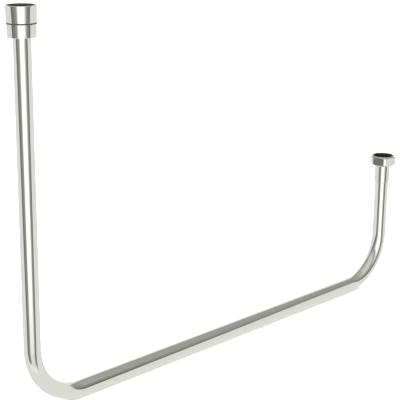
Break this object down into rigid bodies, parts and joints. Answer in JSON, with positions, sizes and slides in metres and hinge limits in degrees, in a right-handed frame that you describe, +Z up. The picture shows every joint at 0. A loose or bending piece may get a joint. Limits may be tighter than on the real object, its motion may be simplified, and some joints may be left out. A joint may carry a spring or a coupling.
{
  "type": "bent shower connecting pipe",
  "caption": "Rigid chrome-plated U-shaped water pipe with a long and a short leg, ending in a round coupling nut and a hexagon union nut that turn freely.",
  "frame": {"origin": "centre of the union seal's upper face, inside the hexagon nut at the end of the short leg", "axes": "+Z up along both legs, pointing out of the nuts' mouths; +X from the long leg to the short leg; Y across the pipe's plane, +Y away from the picture's viewer"},
  "size_m": [0.6229, 0.0348, 0.4197],
  "materials": {
    "chrome_tube": "bright chrome plating on brass tube",
    "chrome_nipple": "bright chrome plating on turned brass",
    "chrome_nut": "bright chrome plating on machined brass",
    "spring_wire": "drawn stainless spring wire",
    "slip_plastic": "dark grey moulded plastic",
    "seal_rubber": "black rubber"
  },
  "bodies": {
    "pipe": {"bent_tube": "chrome_tube", "union_nipple": "chrome_nipple", "stop_ring": "spring_wire", "union_seal": "seal_rubber", "coupling_collar": "chrome_nipple", "slip_ring": "slip_plastic", "coupling_seal": "seal_rubber"},
    "union_nut_body": {"union_nut": "chrome_nut"},
    "coupling_nut_body": {"coupling_nut": "chrome_nut"}
  },
  "joints": [
    {"name": "union_nut_turn", "type": "hinge", "parent": "pipe", "child": "union_nut_body", "pos_m": [0, 0, 0], "axis": [0, 0, 1], "continuous": true},
    {"name": "coupling_nut_turn", "type": "hinge", "parent": "pipe", "child": "coupling_nut_body", "pos_m": [-0.59, 0, 0.239], "axis": [0, 0, 1], "continuous": true}
  ]
}
